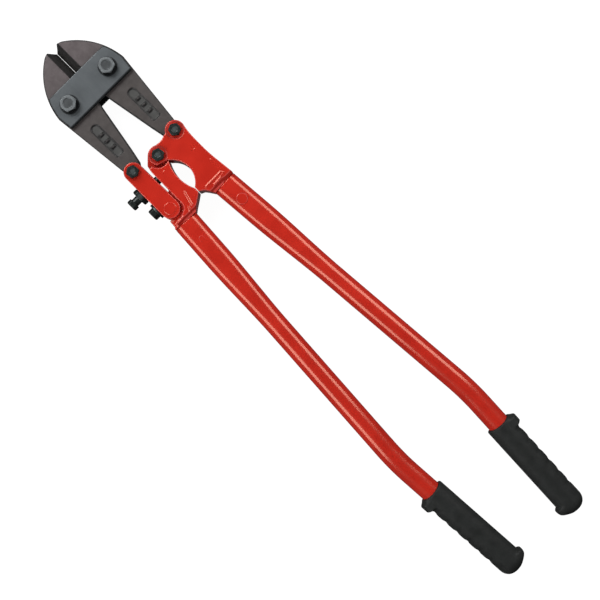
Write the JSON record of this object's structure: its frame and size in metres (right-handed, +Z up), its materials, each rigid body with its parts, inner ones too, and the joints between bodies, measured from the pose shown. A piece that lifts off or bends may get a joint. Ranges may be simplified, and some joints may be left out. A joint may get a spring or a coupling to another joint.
{
  "type": "bolt cutters",
  "caption": "Centre-cut bolt cutters: two forged jaws between bridge plates, compound-lever heads on splayed tube handles, with a screw-set adjusting link and rubber grips.",
  "frame": {"origin": "centre of the footprint, on the surface that the tool lies on, handles closed", "axes": "+X along the tool towards the blades, +Y towards the handle with the adjusting link, +Z up, square to both faces of the tool"},
  "size_m": [0.7578, 0.1441, 0.0418],
  "materials": {
    "jaw_steel": "satin, blackened forging with ground bevels",
    "plate_steel": "satin, blue-grey",
    "jaw_fastener": "satin, bare steel",
    "red_enamel": "gloss enamel over forging and tube",
    "black_oxide": "black oxide, oiled",
    "grip_rubber": "satin moulded rubber"
  },
  "bodies": {
    "bridge": {"bridge_plate_top": "plate_steel", "bridge_plate_bottom": "plate_steel", "right_jaw_bolt": "jaw_fastener", "right_jaw_nut": "jaw_fastener", "left_jaw_bolt": "jaw_fastener", "left_jaw_nut": "jaw_fastener"},
    "right_jaw": {"right_jaw": "jaw_steel"},
    "left_jaw": {"left_jaw": "jaw_steel"},
    "right_handle": {"right_head": "red_enamel", "right_tube": "red_enamel", "right_tube_rivet": "red_enamel", "right_grip": "grip_rubber", "right_tail_bolt": "black_oxide", "right_tail_nut": "black_oxide", "centre_bolt": "black_oxide", "centre_nut": "black_oxide"},
    "adjusting_link": {"adjusting_link": "red_enamel", "left_tail_bolt": "black_oxide", "left_tail_nut": "black_oxide", "link_pivot_pin": "red_enamel"},
    "left_handle": {"left_head": "red_enamel", "left_tube": "red_enamel", "left_tube_rivet": "red_enamel", "left_grip": "grip_rubber"},
    "adjusting_screw": {"adjusting_screw": "black_oxide"},
    "adjusting_lock_nut": {"adjusting_lock_nut": "black_oxide"},
    "clamp_screw": {"clamp_screw": "black_oxide", "clamp_washer": "black_oxide"}
  },
  "joints": [
    {"name": "right_jaw_pivot", "type": "hinge", "parent": "bridge", "child": "right_jaw", "pos_m": [0.3207, -0.0255, 0.0197], "axis": [0, 0, 1], "range_deg": [-6.52, 0]},
    {"name": "left_jaw_pivot", "type": "hinge", "parent": "bridge", "child": "left_jaw", "pos_m": [0.3207, 0.0325, 0.0197], "axis": [0, 0, 1], "range_deg": [0, 6.52]},
    {"name": "right_tail_pivot", "type": "hinge", "parent": "right_jaw", "child": "right_handle", "pos_m": [0.2207, -0.0285, 0.0197], "axis": [0, 0, 1], "range_deg": [0, 48.47]},
    {"name": "left_tail_pivot", "type": "hinge", "parent": "left_jaw", "child": "adjusting_link", "pos_m": [0.2207, 0.0355, 0.0197], "axis": [0, 0, 1], "range_deg": [-48.52, 0]},
    {"name": "link_adjustment", "type": "hinge", "parent": "adjusting_link", "child": "left_handle", "pos_m": [0.1647, 0.0351, 0.0197], "axis": [0, 0, 1], "range_deg": [-0.6, 0]},
    {"name": "adjusting_screw_turn", "type": "hinge", "parent": "adjusting_link", "child": "adjusting_screw", "pos_m": [0.1978, 0.0485, 0.0197], "axis": [0, 1, 0], "continuous": true},
    {"name": "lock_nut_turn", "type": "hinge", "parent": "adjusting_link", "child": "adjusting_lock_nut", "pos_m": [0.1978, 0.0485, 0.0197], "axis": [0, 1, 0], "continuous": true},
    {"name": "clamp_screw_turn", "type": "hinge", "parent": "left_handle", "child": "clamp_screw", "pos_m": [0.1743, 0.0485, 0.0197], "axis": [0, 1, 0], "continuous": true}
  ],
  "couplings": [
    {"joint": "right_jaw_pivot", "follows": "right_tail_pivot", "ratio": -0.13352},
    {"joint": "left_jaw_pivot", "follows": "right_tail_pivot", "ratio": 0.13352},
    {"joint": "left_tail_pivot", "follows": "right_tail_pivot", "ratio": -1}
  ]
}
